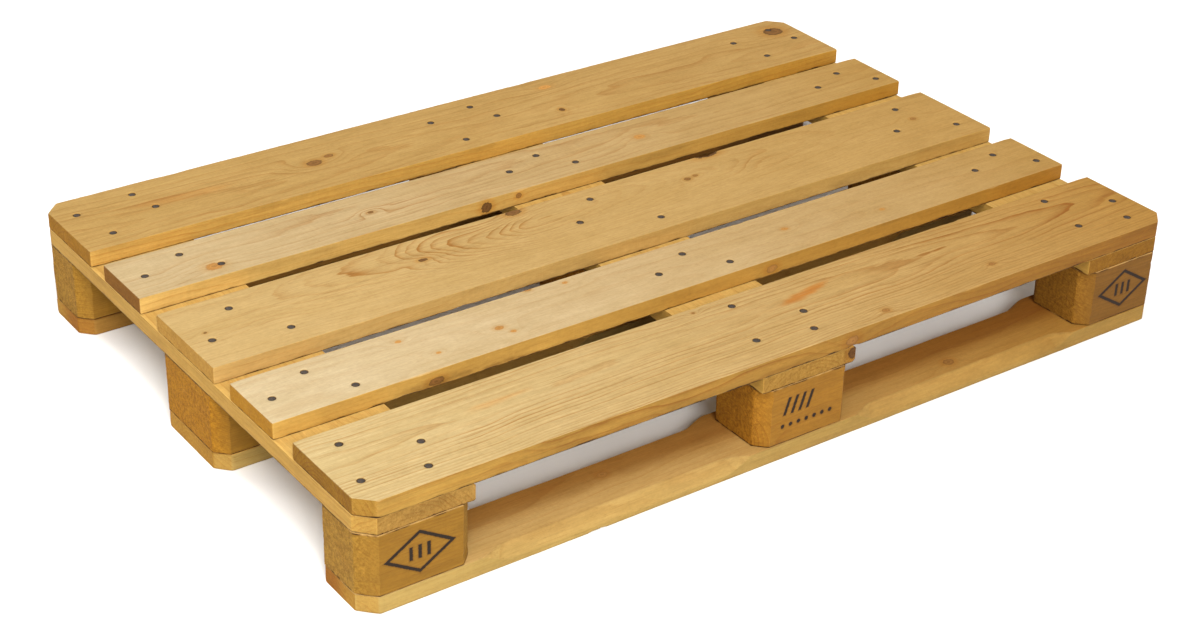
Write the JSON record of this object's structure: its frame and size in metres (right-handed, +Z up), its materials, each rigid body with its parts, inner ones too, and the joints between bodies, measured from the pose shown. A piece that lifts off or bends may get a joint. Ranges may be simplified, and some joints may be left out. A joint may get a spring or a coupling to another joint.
{
  "type": "wooden block pallet",
  "caption": "Four-way entry wooden block pallet with slatted deck, cross boards, nine-point block rows and chamfered base boards, nailed together.",
  "frame": {"origin": "bottom centre of the pallet, on the floor plane, in the middle of its length and width", "axes": "+X along the 1200 mm deck and base boards, +Y along the 800 mm cross boards towards the back row, +Z up from the floor to the deck"},
  "size_m": [1.2, 0.8, 0.144],
  "materials": {
    "deck_timber": "sawn spruce or pine, pale, unplaned, matt",
    "cross_timber": "sawn spruce or pine, matt, rough end grain",
    "block_timber": "sawn pine block, warm orange tan, matt, burnt in plain marks on the front row",
    "base_timber": "sawn spruce or pine, matt, chamfered lead edges",
    "nail_steel": "dark oxidised plain steel"
  },
  "bodies": {
    "root": {"deck_board_front_outer": "deck_timber", "deck_board_front_inner": "deck_timber", "deck_board_centre": "deck_timber", "deck_board_back_inner": "deck_timber", "deck_board_back_outer": "deck_timber", "cross_board_left": "cross_timber", "cross_board_centre": "cross_timber", "cross_board_right": "cross_timber", "block_front_left": "block_timber", "block_front_centre": "block_timber", "block_front_right": "block_timber", "block_mid_left": "block_timber", "block_mid_centre": "block_timber", "block_mid_right": "block_timber", "block_back_left": "block_timber", "block_back_centre": "block_timber", "block_back_right": "block_timber", "base_board_front": "base_timber", "base_board_mid": "base_timber", "base_board_back": "base_timber", "long_nails_deck_front_outer": "nail_steel", "long_nails_deck_centre": "nail_steel", "long_nails_deck_back_outer": "nail_steel", "short_nails_deck_front_outer": "nail_steel", "short_nails_deck_front_inner": "nail_steel", "short_nails_deck_back_inner": "nail_steel", "short_nails_deck_back_outer": "nail_steel", "base_nails_front": "nail_steel", "base_nails_mid": "nail_steel", "base_nails_back": "nail_steel"}
  },
  "joints": []
}
